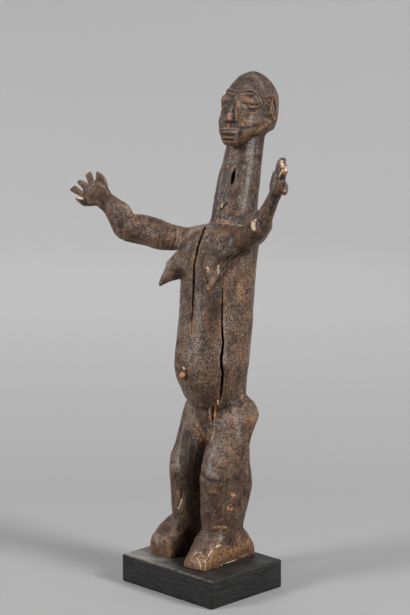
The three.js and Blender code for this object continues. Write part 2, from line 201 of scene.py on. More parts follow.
toward = (CAMERA_LOOKS_AT - CAMERA_AT) / np.linalg.norm(CAMERA_LOOKS_AT - CAMERA_AT)
across = np.cross(toward, (0, 0, 1))
across /= np.linalg.norm(across)
upward = np.cross(across, toward)


def ray(u, v):
    """The direction from the camera through a pixel of the photograph."""
    right = u - PHOTO_WIDTH / 2
    down = v - PHOTO_HEIGHT / 2
    return Vector(toward * FOCAL_PIXELS + across * right - upward * down).normalized()


def on_plane(pixels, place, normal):
    """Where the rays through pixels of the photograph meet a plane."""
    rays = np.array([ray(u, v) for u, v in pixels])
    reach = ((place - CAMERA_AT) @ normal) / (rays @ normal)
    return CAMERA_AT + rays * reach[:, None]


def head_mirror(points):
    """The same places on the other side of the head."""
    side, ahead = math.cos(HEAD_TURN), math.sin(HEAD_TURN)
    across_head = np.array([side, ahead, 0])
    offset = (points - np.array([0, HEAD_AXIS, 0])) @ across_head
    return points - 2 * offset[:, None] * across_head


class Clay:
    """The vertices of a dense mesh, for carving."""

    def __init__(self, piece):
        self.piece = piece
        self.points = read(piece.data.vertices, "co", 3).astype(float) / MM
        self.edges = read(piece.data.edges, "vertices", 2, np.int32)
        self.links = np.bincount(self.edges.ravel(), minlength=len(self.points))
        self.refresh()

    def refresh(self):
        mesh = self.piece.data
        mesh.vertices.foreach_set("co", (self.points * MM).astype(np.float32).ravel())
        mesh.update()
        self.normals = read(mesh.vertex_normals, "vector", 3).astype(float)

    def take_surface(self):
        """Remembers the surface as it is now, for places to be found on it."""
        self.refresh()
        bpy.context.view_layer.update()
        graph = bpy.context.evaluated_depsgraph_get()
        self.surface = BVHTree.FromObject(self.piece, graph)

    def average(self):
        first, second = self.edges.T
        count = len(self.points)
        total = np.empty_like(self.points)
        for axis in range(3):
            value = self.points[:, axis]
            total[:, axis] = np.bincount(first, value[second], count)
            total[:, axis] += np.bincount(second, value[first], count)
        return total / self.links[:, None]

    def smooth(self, times, weight=1.0):
        share = 0.6 * np.broadcast_to(weight, len(self.points))[:, None]
        for _ in range(times):
            self.points += (self.average() - self.points) * share

    def stretch(self, chosen, times):
        """Pulls the chosen vertices into a tight skin that hangs from the ones around them."""
        is_chosen = np.zeros(len(self.points), dtype=bool)
        is_chosen[chosen] = True
        edges = self.edges[is_chosen[self.edges].any(axis=1)]
        used, local = np.unique(edges, return_inverse=True)
        first, second = local.reshape(-1, 2).T
        moving = is_chosen[used]
        place = self.points[used]
        links = np.bincount(np.concatenate([first, second]), minlength=len(used))
        for _ in range(times):
            for axis in range(3):
                value = place[:, axis]
                total = np.bincount(first, value[second], len(used))
                total += np.bincount(second, value[first], len(used))
                value[moving] = (total / links)[moving]
        self.points[used] = place

    def push(self, amount):
        self.points += self.normals * amount[:, None]

    def seen(self, pixels, step=0.5):
        """Places on the surface, and its normals there, along a line of pixels in the photograph."""
        places, normals = [], []
        pairs = list(zip(pixels, pixels[1:])) or [(pixels[0], pixels[0])]
        for (u0, v0), (u1, v1) in pairs:
            count = max(1, math.ceil(math.hypot(u1 - u0, v1 - v0) / step))
            for share in np.linspace(0, 1, count + 1):
                pixel = u0 + (u1 - u0) * share, v0 + (v1 - v0) * share
                place, normal, _, _ = self.surface.ray_cast(Vector(CAMERA_AT) * MM, ray(*pixel))
                if place is not None:
                    places.append(np.array(place) / MM)
                    normals.append(np.array(normal))
        return np.array(places).reshape(-1, 3), np.array(normals).reshape(-1, 3)

    def nearest(self, points):
        found = [self.surface.find_nearest(Vector(point) * MM)[0] for point in points]
        return np.array([np.array(place) / MM for place in found]).reshape(-1, 3)

    def path(self, pixels, mirrored=False):
        places = self.seen(pixels)[0]
        if not mirrored or len(places) == 0:
            return places
        return np.vstack([places, self.nearest(head_mirror(places))])


BESIDE = 4  # pixels from the middle of a split to whole skin
PULLS = 260  # how often the skin over a split is averaged
TALLEST_FACET = 1.2


def heal(clay, pixels, width, depth=7):
    """Fills a split with skin stretched from one side of it to the other."""
    left = clay.seen([(u - BESIDE, v) for u, v in pixels], step=0.8)[0]
    right, normals = clay.seen([(u + BESIDE, v) for u, v in pixels], step=0.8)
    count = min(len(left), len(right))
    path = (left[:count] + right[:count]) / 2
    normals = normals[:count]
    levels = [path - normals * down for down in np.linspace(0, depth, 5)]
    chosen = near(clay.points, np.vstack(levels), width) > math.exp(-1)
    inside = np.flatnonzero(chosen)
    away = np.linalg.norm(clay.points[inside, None] - path[None], axis=2)
    nearest = away.argmin(1)
    sunk = ((clay.points[inside] - path[nearest]) * normals[nearest]).sum(1)
    lift = np.where(sunk < -0.4, -sunk, 0)
    clay.points[inside] += normals[nearest] * lift[:, None]
    clay.stretch(inside, PULLS)


def facets(clay, spacing, stretch, strength, weight):
    """Flattens the surface toward the planes of scattered chisel cuts."""
    area = len(clay.points) * VOXEL**2
    count = int(area / spacing**2)
    chosen = random.choice(len(clay.points), count, replace=False)
    seeds, planes = clay.points[chosen], clay.normals[chosen]
    nearest = np.empty(len(clay.points), dtype=int)
    scaled_seeds = seeds * stretch
    for start in range(0, len(nearest), CHUNK):
        some = clay.points[start : start + CHUNK] * stretch
        square = (scaled_seeds**2).sum(1) - 2 * some @ scaled_seeds.T
        nearest[start : start + CHUNK] = square.argmin(1)
    height = ((clay.points - seeds[nearest]) * planes[nearest]).sum(1)
    agree = np.clip((clay.normals * planes[nearest]).sum(1), 0, 1) ** 6
    move = np.clip(height, -TALLEST_FACET, TALLEST_FACET) * agree * strength * weight
    clay.points -= planes[nearest] * move[:, None]


# Where the parts of the figure are, by height above the plinth
ANKLES = (26, 46)
SHINS = (26, 70)
HIPS = (84, 142)
CHEST = (205, 282)
BREASTS = (214, 262)
NECK = (262, 340)
NAPE = (343, 357)
CROWN = (366, 410)


def regions(points):
    """How much each vertex belongs to the head, the hands and the feet."""
    height = points[:, 2] - PLINTH_HEIGHT
    aside = np.abs(points[:, 0])
    head = ease(height, 336, 342) * (1 - ease(aside, 28, 32))
    hands = ease(aside, 88, 94)
    hands = np.maximum(hands, ease(height, 306, 316) * (points[:, 0] > 0) * ease(aside, 84, 90))
    feet = 1 - ease(height, 34, 44)
    return head, hands, feet


# Places that are rounded over before the carving
NAPE_EDGE = [(277.6, 127), (275.6, 131), (270, 132.6), (264, 133)]
RIGHT_PALM = np.array([-103.0, -24.0, 320.0])

# Face, carved where the photograph shows each line. Each row is the line's width, how far it stands out and
# its pixels. The line is repeated on the other side of the head.
FACE_LINES = [
    # brow
    (0.7, 0.75, (240, 91.3), (245.7, 89.9), (251.5, 90.3), (255.9, 92.9), (259.1, 96.4), (261.1, 100.8),
     (261.6, 104.7)),
    (0.5, -0.7, (240.3, 92.4), (247, 91.3), (252.5, 92), (256.4, 95.1), (259, 99), (260.2, 104.5)),
    (0.6, 0.5, (240.6, 93.7), (248.3, 92.7), (253.4, 94), (256.6, 97.3), (258.6, 101.5), (259.2, 105.9)),
    (0.7, -0.6, (241, 95.7), (247.5, 95), (252.3, 96.4), (254.8, 99.5)),
    # eye
    (1.5, 0.8, (242.6, 99.5), (247.5, 99.3), (252.5, 101.5)),
    (0.6, -1, (243.2, 102.8), (248.3, 104.6), (257.2, 105.4)),
    (1, 0.6, (247, 107.2), (251, 107.4), (256.6, 107.4)),
    (0.6, -0.9, (240.6, 108.5), (245.7, 110.4), (254.7, 111.1), (256.9, 109.1)),
    # beside the nose
    (0.8, 0.7, (237.4, 99.6), (236.4, 105), (236.2, 111.1), (236.8, 117.4), (235.8, 121.3)),
    (0.9, -0.9, (234.4, 100), (233.6, 104.7), (233, 110), (233, 114.9), (233.8, 119)),
    (0.8, -1.3, (225.4, 121.7), (228.5, 121.9), (231.7, 121.6)), (0.8, -0.5, (228.5, 123.2), (228.5, 127)),
    # mouth
    (0.6, 0.4, (221.6, 128.5), (226, 128.2), (231.7, 128.3), (235, 129.2)),
    (0.5, -0.6, (220.8, 130.3), (226, 130), (234, 130.6)),
    (0.8, 0.5, (220.8, 132.2), (227, 132), (232.3, 132.9), (234.6, 133)),
    (0.55, -1, (221.5, 134.5), (228.5, 134.4), (232.7, 136.1)),
    (0.7, 0.5, (220.8, 137.4), (226.6, 137.4), (231.8, 138.8)),
    (0.5, -0.8, (220.2, 139.8), (226, 139.6), (231, 140.6)),
    (0.7, 0.4, (221.2, 142), (226, 142), (231.1, 142.2)),
    # cheek
    (0.45, -0.6, (240.6, 119.3), (243.2, 122.2), (245.7, 125.1)),
    (0.45, -0.6, (243.2, 117.4), (245.4, 120.4), (247.7, 123.8)),
    (0.45, 0.4, (241.8, 118), (244.4, 121.2), (246.7, 124.4)),
    (1.1, -0.6, (238.1, 127.6), (243, 128.4), (249, 128), (255, 126)),
    # ear
    (1, 0.9, (266.8, 97), (270, 95.6), (274, 97.6), (276.4, 102), (276.6, 108), (275.2, 114),
     (273.6, 119), (269.5, 123)), (0.9, -1.6, (268.6, 99), (268.9, 95.4)),
    (0.9, -1.1, (271.5, 100), (273, 105), (272, 110)),
    (0.8, 0.8, (266.5, 103.5), (269.4, 106), (271.5, 108.8), (269.6, 113)),
    (0.7, -0.9, (269.6, 116), (272, 118.2), (273, 121)),
    (0.7, 0.6, (264.5, 120.5), (268, 119.3), (270.5, 121.8)), (0.5, -0.5, (261, 125), (265, 122.6)),
    (0.5, -0.5, (263, 127), (267.4, 124.4)), (0.5, -0.4, (258, 128.6), (262, 127)),
]

# Lines and hollows on the rest of the figure, as rows of the same kind
BODY_LINES = [
    # fuller places
    (8, 1.5, (172.5, 452), (172.5, 470)), (6, 2.2, (154, 546), (156, 536)),
    (7, 1.2, (248, 454), (248, 462)), (8, 2.6, (158, 245), (165, 246.5), (171, 247)),
    # left edge of the chest, and the arm behind it
    (2, 0.9, (198, 231), (190, 234), (183.6, 239.4), (179.6, 247), (176, 255)),
    (1.6, -0.9, (195, 227.4), (186, 229.6), (179.6, 234.6), (175.8, 241)),
    (0.6, -0.5, (174.6, 226.4), (176, 234), (174.6, 243), (171, 251)),
    (0.7, -1, (226.4, 203.4), (223.4, 206.8), (220.4, 210.4)), (0.8, 0.5, (222.8, 201.6), (221.6, 207.4)),
    (0.6, 0.35, (217, 224), (222, 223.2), (228, 224), (236, 224.4), (243.6, 226)),
    (1, 0.5, (238.6, 178), (237.6, 184), (235.6, 188.4)), (0.6, -0.6, (231.3, 185), (230.6, 191)),
    (2.4, 1.3, (223.6, 106.6), (222.4, 109.6)),
    # under the edge of the near sole
    (0.9, -1.3, (216, 569), (226, 564.2), (240, 558.8), (252, 554.6)),
    (0.8, -1.1, (184.6, 568.4), (190, 571.4), (199, 572.8), (208, 571.6), (214, 569.4)),
    # chest and breasts
    (1.2, 0.6, (213.6, 223.8), (223.6, 223), (232, 223.6), (243.6, 226.2)), (0.7, -1.2, (226.4, 227.3)),
    (0.6, 0.5, (204.3, 278.6), (206, 283), (207.9, 287.1)),
    (0.6, 0.5, (213.6, 277.1), (211, 282.5), (207.9, 287.1)), (1.2, -0.8, (207.1, 269.3)),
    (0.8, -1.6, (205.2, 270.5)), (0.8, -0.7, (218.4, 265), (218.1, 269), (217.8, 273)),
    (2, 0.9, (209, 285.5), (213.5, 276), (219, 267), (226, 259), (235, 252.8)),
    (1.5, -1, (213, 290), (217.5, 281), (222.5, 271), (229, 262), (236, 256), (243, 252)),
    # navel
    (3, 1.4, (181.4, 374.6)), (1.2, -0.9, (186.4, 371), (187, 375.7), (185, 379)),
    # groin
    (2.6, -1.2, (196, 425), (201.3, 424.5), (206, 421)),
    (1.4, 0.6, (188.8, 422.5), (194, 428), (200, 433.8)),
    # knee
    (1.9, -0.55, (201, 471.5), (204, 476.6), (209, 480), (215, 481.4)),
    (3, 0.8, (203.6, 466), (207.4, 473), (213, 475.4)),
    # ankle
    (1.3, 0.5, (213, 528.4), (216, 527.6), (221, 527.2), (225.6, 527.8)),
    # gouges on the shins
    (1.3, -1.4, (182.4, 490), (181.6, 497), (179.6, 503), (178.8, 508)), (1.5, -0.9, (232.5, 494.4)),
    (1.5, -0.9, (229.3, 508.6)), (1.2, -0.6, (246.9, 471.9)),
    # tip of the nose
    (2, 0.7, (228.5, 115), (228.5, 118.6)),
    # pit in the curled digit
    (1.7, -3, (284.4, 185.6)),
    # scar on the left upper arm
    (1.5, -0.9, (253.4, 222.8), (252.9, 227)),
    # toes
    (0.5, -0.5, (193.9, 555), (197.1, 551.8), (201.4, 553.2), (203.2, 557.1)),
    (0.55, -0.7, (196.4, 557.1), (200, 562.9), (201.3, 568.6)),
    (0.55, -0.7, (204.3, 559.3), (206.1, 563.6), (204.6, 568.9)), (0.5, -0.5, (208.6, 555.7), (212.1, 550)),
    (0.5, -0.5, (211, 547.6), (216.4, 550.4)),
]

# Places moved over in the photograph's plane. Each row is a reach, millimetres right and up, and pixels.
SHIFTS = [
    (8, -2.4, -0.9, (173, 256), (164, 280)), (6, -3.4, -0.6, (177, 256), (172.5, 262)),
    (5, 0, -2.4, (171, 277), (176, 277)), (4, -2.8, -1.4, (177, 251)), (3, -2.2, 0, (172, 256)),
    (3.5, -0.8, 0, (165.6, 269), (160.6, 281)), (4, -1.5, 0, (166, 268), (161, 280)),
    (2.5, -1.2, 0, (286.5, 159)),
]

# The splits. Each is a depth, and then pixels with the split's half width there.
FRONT_SPLIT = (
    8, (205.6, 225.8, 0.5), (204.3, 229, 1.15), (200.7, 237.1, 1.5), (196.6, 251.4, 1.35),
    (194.4, 264.3, 1.2), (193.6, 285.7, 1.05), (192.6, 305.7, 0.8), (191.9, 321.4, 0.5), (191.4, 336, 0.2),
)
SIDE_SPLIT = (
    9, (222.4, 284, 0.15), (222.4, 292, 0.5), (222.3, 305, 0.75), (222, 321.4, 0.81), (222.3, 333, 1),
    (223.4, 343, 1), (222.2, 351, 1.12), (221.3, 359, 1.5), (221.6, 367, 1.25), (222.8, 372.5, 0.94),
    (222.2, 382, 1.12), (221, 394, 1.19), (219.2, 401.5, 0.38),
)
GROIN_SPLIT = (
    6, (213.6, 404.5, 0.25), (213.1, 409, 0.85), (212.6, 418, 0.9), (212, 427.5, 0.6), (209.4, 438, 0.7),
    (205.6, 447.5, 0.3),
)
NECK_SPLIT = (
    10, (235.2, 167.6, 0.47), (234.7, 170, 1.08), (233.8, 173, 1.55), (232.9, 176.5, 1.96),
    (232.2, 180, 1.89), (231.7, 182.6, 1.49), (231.3, 184.6, 0.68),
)
SPLIT_LIFT = 5
OLD_SLOT = [(232.6, 166), (232.6, 187)]


def carve(clay, lines, mirrored):
    rises = np.zeros(len(clay.points))
    for width, amount, *pixels in lines:
        rises += amount * near(clay.points, clay.path(pixels, mirrored), width)
    clay.push(rises)


def move_over(clay):
    for reach, right, up, *pixels in SHIFTS:
        share = near(clay.points, clay.path(pixels), reach)[:, None]
        clay.points += share * (across * right + upward * up)
    clay.refresh()


def even(values, times):
    """Values along a line, each averaged with its neighbours."""
    for _ in range(times):
        values = values.copy()
        values[1:-1] = (values[:-2] + values[1:-1] + values[2:]) / 3
    return values


def blade(clay, row, first):
    """Corners and faces of the thin wedge that cuts one split, and the path that it follows."""
    depth, *stations = row
    pixels = [(u, v) for u, v, _ in stations]
    path, normals = clay.seen(pixels, step=1.0)
    path, normals = even(path, 3), even(normals, 6)
    normals /= np.linalg.norm(normals, axis=1)[:, None]
    steps = np.cumsum([0] + [math.dist(a, b) for a, b in zip(pixels, pixels[1:])])
    halves = np.interp(np.linspace(0, steps[-1], len(path)), steps, [half for _, _, half in stations])
    halves *= 1 + 0.25 * noise(path, 2.3)
    along = np.gradient(path, axis=0)
    along /= np.linalg.norm(along, axis=1)[:, None]
    sideways = np.cross(normals, along)
    path = path + sideways * (0.25 * noise(path + 40, 5))[:, None]
    points, faces = [], []
    for place, normal, side, half in zip(path, normals, sideways, halves):
        deep = depth * min(1, 0.3 + half)
        wall = [(1.1, SPLIT_LIFT), (1, 0), (0.97, -0.5), (0.92, -1.2), (0.7, -0.6 * deep)]
        outline = [(-x, y) for x, y in wall] + [(0.1, -deep)] + wall[::-1]
        points += [place + side * x * half + normal * y for x, y in outline]
    ring = len(outline)
    for step in range(len(path) - 1):
        for corner in range(ring):
            a = first + step * ring + corner
            b = first + step * ring + (corner + 1) % ring
            faces.append((a, b, b + ring, a + ring))
    last = first + (len(path) - 1) * ring
    faces.append(tuple(first + corner for corner in reversed(range(ring))))
    faces.append(tuple(last + corner for corner in range(ring)))
    return points, faces, path


def cut_splits(clay):
    points, faces, paths = [], [], []
    for row in (FRONT_SPLIT, SIDE_SPLIT, GROIN_SPLIT, NECK_SPLIT):
        more, sides, path = blade(clay, row, len(points))
        points += more
        faces += sides
        paths.append(path)
    subtract(clay.piece, points, faces)
    return paths


# Hands. The right hand is cut to the outline that the photograph shows, in the upright plane of its arm. The
# left hand has the same outline, turned over and set at its own wrist.
HAND_OUTLINE = [
    (109.5, 191.5), (108.2, 188.5), (107.2, 184), (105.6, 179.3), (103, 175.4), (99.6, 172.8),
    (96.4, 171.2), (96.2, 175), (95.8, 179), (94.9, 182.4), (94, 181), (92.6, 177), (91.3, 173.4),
    (90, 171.4), (87.5, 172.8), (85.2, 174.8), (86.6, 178), (88.2, 181.4), (88.8, 184.2), (86.6, 183),
    (83.5, 181.2), (80.2, 179.6), (77.6, 181.4), (79, 184), (82, 187.4), (84.2, 191), (82, 191.6),
    (78.2, 188.4), (74.5, 185.2), (70.6, 188.4), (70.6, 190.4), (74, 192.8), (79, 195.2), (85.6, 195.9),
    (80, 196.4), (75.8, 196.8), (76, 198.4), (78.4, 201.8), (83, 205.4), (88, 206.4), (97, 205.6),
    (100, 208.2),
]
PALM_OUTLINE = [
    (110.5, 193.5), (106, 185.5), (99.5, 181), (93, 184), (88, 189), (87, 197), (89, 203.5), (97, 204.4),
    (101.5, 210),
]
CUT_HALF = 30
HAND_CUT = [(110.4, 189.6), (98.8, 209.6), (92, 222), (50, 222), (50, 150), (122, 150), (118, 176)]
GAPS = [
    [(93.6, 174), (94.6, 181.6)],
    [(86.2, 179.6), (88.4, 183.4)],
    [(77.5, 186), (83.4, 191)],
    [(77, 196), (85, 195.9)],
]
DIGIT_HALF = 2.5
PALM_HALF = 4.6
RIGHT_WRIST = np.array([-96.0, -20.0, 317.3])
RIGHT_REACH = np.array([-0.815, -0.5795, 0])
LEFT_WRIST = np.array([94.4, -14.5, 337.0])
LEFT_REACH = np.array([0.788, -0.616, 0])
LEFT_BACK = np.array([0.616, 0.788, 0])
LEFT_LEAN = 0.2
LEFT_TURN = math.radians(20)
LEFT_GIRTH = 0.97
UP = np.array([0, 0, 1.0])


def right_plane():
    return np.cross(RIGHT_REACH, UP)


def to_left(points):
    """Places on the right hand, carried over to the left one."""
    reach = (points - RIGHT_WRIST) @ RIGHT_REACH
    rise = (points - RIGHT_WRIST) @ UP
    back = (points - RIGHT_WRIST) @ right_plane()
    turned = reach * math.cos(LEFT_TURN) - rise * math.sin(LEFT_TURN)
    raised = reach * math.sin(LEFT_TURN) + rise * math.cos(LEFT_TURN)
    turned, raised = turned * LEFT_GIRTH, raised * LEFT_GIRTH
    behind = back + raised * LEFT_LEAN
    flat = turned[:, None] * LEFT_REACH + raised[:, None] * UP
    return LEFT_WRIST + flat + behind[:, None] * LEFT_BACK


def plate(pixels, half, left):
    """Points and faces of a flat plate with that outline on the right hand's plane, or on the left hand's."""
    outline = on_plane(pixels, RIGHT_WRIST, right_plane())
    count = len(outline)
    points = np.vstack([outline - right_plane() * half, outline + right_plane() * half])
    if left:
        points = to_left(points)
    faces = [tuple(reversed(range(count))), tuple(range(count, 2 * count))]
    for corner in range(count):
        after = (corner + 1) % count
        faces.append((corner, after, after + count, corner + count))
    return points, faces


def facing_out(points, faces):
    """The same solid with its faces turned to face out of it."""
    shape = bmesh.new()
    corners = [shape.verts.new(point) for point in points]
    for face in faces:
        shape.faces.new([corners[index] for index in face])
    bmesh.ops.recalc_face_normals(shape, faces=shape.faces)
    shape.verts.index_update()
    turned = [tuple(corner.index for corner in face.verts) for face in shape.faces]
    shape.free()
    return points, turned


def bead(centre, radii, sides=16):
    """Points and faces of an ellipsoid with its radii on the photograph's right, its depth and up."""
    shape = bmesh.new()
    bmesh.ops.create_uvsphere(shape, u_segments=sides, v_segments=sides, radius=1)
    axes = np.array([across, np.cross(UP, across), UP])
    shape.verts.index_update()
    points = [centre + (np.array(corner.co) * radii) @ axes for corner in shape.verts]
    faces = [tuple(corner.index for corner in face.verts) for face in shape.faces]
    shape.free()
    return facing_out(points, faces)


def figure_with_hands():
    piece = new_object("figure_carved", welded(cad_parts["figure"].data))
    for left in (False, True):
        subtract(piece, *plate(HAND_CUT, CUT_HALF, left))
    solids = []
    for left in (False, True):
        solids.append(facing_out(*plate(HAND_OUTLINE, DIGIT_HALF, left)))
        solids.append(facing_out(*plate(PALM_OUTLINE, PALM_HALF, left)))
    curled = on_plane([(284.2, 188.6)], LEFT_WRIST + LEFT_REACH * 13, toward)[0]
    solids.append(bead(curled, np.array([3.3, 6, 5.6])))
    piece.data = mesh_with(piece.data, "figure_carved", solids)
    return piece


def decimate(piece, triangles):
    count = sum(len(polygon.vertices) - 2 for polygon in piece.data.polygons)
    if count <= triangles:
        return
    fewer = piece.modifiers.new("decimate", "DECIMATE")
    fewer.ratio = triangles / count
    apply_modifiers(piece)


def carve_figure():
    voxel = VOXEL * 1
    piece = figure_with_hands()
    make_dense(piece, voxel)
    clay = Clay(piece)
    clay.take_surface()
    for _, *stations in (FRONT_SPLIT, SIDE_SPLIT):
        heal(clay, [(u, v) for u, v, _ in stations], 3.4)
    heal(clay, OLD_SLOT, 4)
    clay.refresh()
    points = clay.points
    height = points[:, 2] - PLINTH_HEIGHT
    head, hands, feet = regions(points)
    body = (1 - head) * (1 - hands) * (1 - feet)

    clay.smooth(2)
    clay.smooth(12, body)
    chest = band(height, *CHEST, 12) * (1 - ease(np.abs(points[:, 0]), 50, 62))
    hips = band(height, *HIPS, 12)
    ankles = band(height, *ANKLES, 6)
    scale = (VOXEL / voxel) ** 2
    clay.smooth(int(90 * scale), chest * (1 - head))
    clay.smooth(int(60 * scale), hips)
    clay.smooth(int(40 * scale), ankles)
    clay.smooth(int(90 * scale), near(points, clay.path(NAPE_EDGE, mirrored=True), 6))
    nape = band(height, *NAPE, 4) * ease(points[:, 1], 58, 70)
    clay.smooth(int(120 * scale), nape)
    palms = [RIGHT_PALM, to_left(RIGHT_PALM[None])[0]]
    clay.smooth(int(26 * scale), sum(near(points, palm[None], 11) for palm in palms).clip(0, 1))
    clay.smooth(int(50 * scale), near(points, clay.path([(98.6, 206.6), (101.6, 209.4)]), 5))
    clay.refresh()

    limbs = np.maximum(ease(np.abs(points[:, 0]), 44, 56), 1 - ease(height, 128, 142))
    share = body * (0.45 + 0.55 * limbs) + 0.7 * feet
    facets(clay, spacing=10, stretch=np.array([1, 1, 0.6]), strength=0.85, weight=share)
    clay.smooth(3, body)
    clay.take_surface()
    move_over(clay)
    clay.take_surface()
    carve(clay, FACE_LINES, mirrored=True)
    carve(clay, BODY_LINES, mirrored=False)
    clay.smooth(1, 0.7)
    clay.refresh()

    grain = noise(clay.points, (1.6, 1.6, 14)) + 0.6 * noise(clay.points + 70, (0.9, 0.9, 7))
    lumps = noise(clay.points + 20, 9) + 0.7 * noise(clay.points + 50, 4)
    crust = noise(clay.points + 90, 1.6)
    clay.push(0.10 * grain * (1 - 0.6 * head) + 0.22 * lumps * (1 - 0.5 * head) + 0.10 * crust)
    inside_sole = clay.points[:, 2] < PLINTH_HEIGHT
    clay.points[inside_sole, 2] = PLINTH_HEIGHT
    clay.take_surface()
    paths = cut_splits(clay)
    decimate(piece, FIGURE_TRIANGLES)
    return clay, paths


# Paint masks on the finished figure


def paint(piece, name, values):
    attribute = piece.data.attributes.new(name, "FLOAT", "POINT")
    attribute.data.foreach_set("value", np.clip(values, 0, 1).astype(np.float32))


# Where the wood shows another colour, and painted highlights on the glossy places and along the outer edge of
# the near sole. Each row is a width and the line's pixels.
MARKS = {}
MARKS["pale"] = [
    (2, (253.8, 223), (252.6, 225.6), (254, 228.2)), (0.9, (255.4, 220.2)),
    (0.5, (222.4, 203.4), (221.6, 207.4)), (0.7, (248.8, 229.3)),
    (0.75, (218.5, 265.5), (218.1, 269), (217.8, 272.4)), (0.7, (207.4, 267.4), (208.6, 269), (207.8, 271)),
    (0.6, (182.6, 367.4), (184.4, 368.4)), (0.7, (217.6, 400.4), (217.9, 403.6)),
    (0.5, (209.6, 407.6), (209.2, 414)), (0.7, (182, 499), (179.8, 505.6), (178.4, 508)),
    (0.3, (193.9, 555), (197.1, 551.8), (201.4, 553.2), (203.2, 557.1)),
    (0.32, (196.4, 557.1), (200, 562.9), (201.3, 568.6)),
    (0.32, (204.3, 559.3), (206.1, 563.6), (204.6, 568.9)), (0.4, (208.6, 555.7), (212.1, 550)),
    # The second row on this line is a painted highlight along the lit outer edge of the near sole.
    (0.75, (217.4, 546.4), (219.8, 545.2)), (0.4, (220.7, 565.4), (232.9, 560.7), (247.1, 553.9)),
    (0.5, (243.8, 500.6)), (1.4, (281.6, 162), (282.6, 166)), (1, (285.4, 167), (286.4, 170)),
    (0.7, (279.4, 175.4), (282.6, 170.2)), (0.8, (284.6, 190.8)), (0.5, (155.2, 282.6), (156.6, 285.2)),
    (1.1, (77, 197.2), (82, 198.6)),
]
MARKS["orange"] = [
    (2.8, (181.2, 374.6)), (1.4, (207.9, 288)), (1.4, (231.6, 493.6), (233.8, 495.2)),
    (1, (227.6, 507.4), (229.4, 510), (231.6, 509.2)), (1, (246.9, 471.9)), (0.8, (215.6, 406), (215, 416)),
    (0.7, (218.4, 403), (218, 405)), (0.5, (210.3, 415), (210, 421)), (1.3, (284, 171.4), (285.8, 174.6)),
    (0.7, (271, 222.6)), (0.6, (155, 285), (158.6, 286.4)),
]
MARKS["tan"] = [
    (1.6, (241.5, 96.6), (246, 97.6), (250.4, 100.6), (252.4, 103)), (2, (247.6, 101.2)),
    (0.6, (240.8, 93.2), (246, 92.2)), (1.1, (239.6, 99), (238.4, 106), (238.6, 112)),
    (0.9, (236.4, 112), (237, 118)), (1.1, (240.6, 118.4), (245, 124.6)),
    (0.9, (243.2, 117), (247.6, 123.4)), (0.7, (249.6, 107.4), (256.8, 107.8)),
    (1.2, (273.2, 97.6), (272, 104), (271, 110), (274, 117)),
    (1.6, (266.4, 124), (262, 127.4), (257.6, 130.6)), (1.1, (264, 119), (269, 121)),
    (0.6, (221, 137.4), (226.6, 137.4), (231.6, 138.8)), (0.6, (221.4, 142), (231, 142.2)),
    (0.6, (223.4, 132.6), (230, 133.4)), (1.4, (241.9, 391), (241.8, 398.6)),
    (3.2, (240.6, 284), (238.6, 290), (241, 296)), (1, (183, 489), (182.2, 496), (181, 503)),
    (0.8, (203.4, 226.8), (193, 230), (184, 236), (177.6, 246)), (2.2, (250, 418), (255, 419)),
    (3.4, (196, 424), (200, 436), (204, 447)), (2.4, (209, 432), (206, 446)),
    (3, (184, 532), (178, 543), (172, 551)), (2.6, (178, 492), (185, 512), (190, 524)),
    (1.4, (216, 527.6), (226, 527.8)), (3.4, (224, 555), (238, 549), (248, 543)),
    (3, (200, 560), (210, 562), (220, 558)), (0.7, (281.2, 185), (281.6, 191), (283.6, 194.4)),
    (0.9, (196, 250), (193.4, 262)), (0.9, (214.6, 424), (214.2, 432), (211, 441)),
    (3, (238, 537), (240, 545)), (1, (218, 527.6), (221.6, 527.4)),
    (1.6, (127, 205), (129.4, 210), (131.6, 214)), (1.8, (232, 148), (231, 158)), (1.5, (93, 188.5)),
    (1.2, (216.6, 221.6), (222, 222), (227.6, 221.8)), (0.5, (218, 223.6), (221, 224), (225, 223.4)),
    (0.9, (238.6, 179), (237.4, 185), (235.6, 188)), (0.9, (238.2, 235), (238.2, 245)),
    (0.8, (177.4, 230), (177.4, 239), (174, 249)), (3.4, (212, 553), (224, 549)),
    (0.6, (204.6, 279), (206, 284), (207.9, 287.1), (212.6, 278.4)), (2.6, (198, 434), (203, 445)),
]
# Glossy places, which also get a painted highlight in pale grey.
MARKS["sheen"] = [
    (2.3, (253, 141), (250.6, 165), (246.4, 190), (243, 212)), (1.5, (249.6, 143), (247.4, 160)),
    (1.3, (221.6, 198), (217, 214)), (2.6, (234.4, 410), (237, 424), (239.4, 440)),
    (2.2, (214.6, 447), (210.4, 460), (208.6, 474)), (2, (212, 476), (218, 477)),
    (1.6, (184, 424), (179.6, 446), (176.8, 466)), (1.7, (189.6, 352), (188, 362)),
    (2.4, (254, 75), (259.6, 81), (263.6, 88)), (2, (245, 86), (252, 88)),
    (1.6, (252.4, 115), (250, 119), (251, 125)), (1, (247, 125.6)),
    (0.5, (245.7, 89.9), (251.5, 90.3), (255.9, 92.9), (259.1, 96.4), (261.1, 100.8), (261.6, 105)),
    (0.5, (223, 128.3), (231.7, 128.3)), (1, (232.4, 132.4), (236.4, 131.4), (236.8, 135)),
    (0.9, (233, 139), (236, 141)), (1.9, (220.8, 531), (220.8, 543)), (1.7, (156.4, 537), (157, 545)),
    (1.8, (231, 240), (226, 252)), (1.5, (172.6, 254), (165, 268)), (2, (222, 255), (233, 250)),
    (2.4, (190, 243), (186, 250)), (2.4, (197.6, 296), (197, 350)), (2.6, (224, 316), (224.4, 362)),
    (0.7, (226, 223.6), (232, 224.6), (243, 225.8)), (0.9, (250.6, 218), (253.6, 213.6), (257, 211)),
    (1.6, (224.6, 152), (221.6, 175), (218, 198)),
    (1.2, (196, 229.4), (187, 234), (180.4, 242), (177, 250)), (1.2, (160, 277), (165.6, 267)),
    (0.8, (212, 284), (216, 277.6), (222, 267.6), (229, 259.6), (237, 253)),
    (1.6, (247, 196), (243.4, 211)),
]
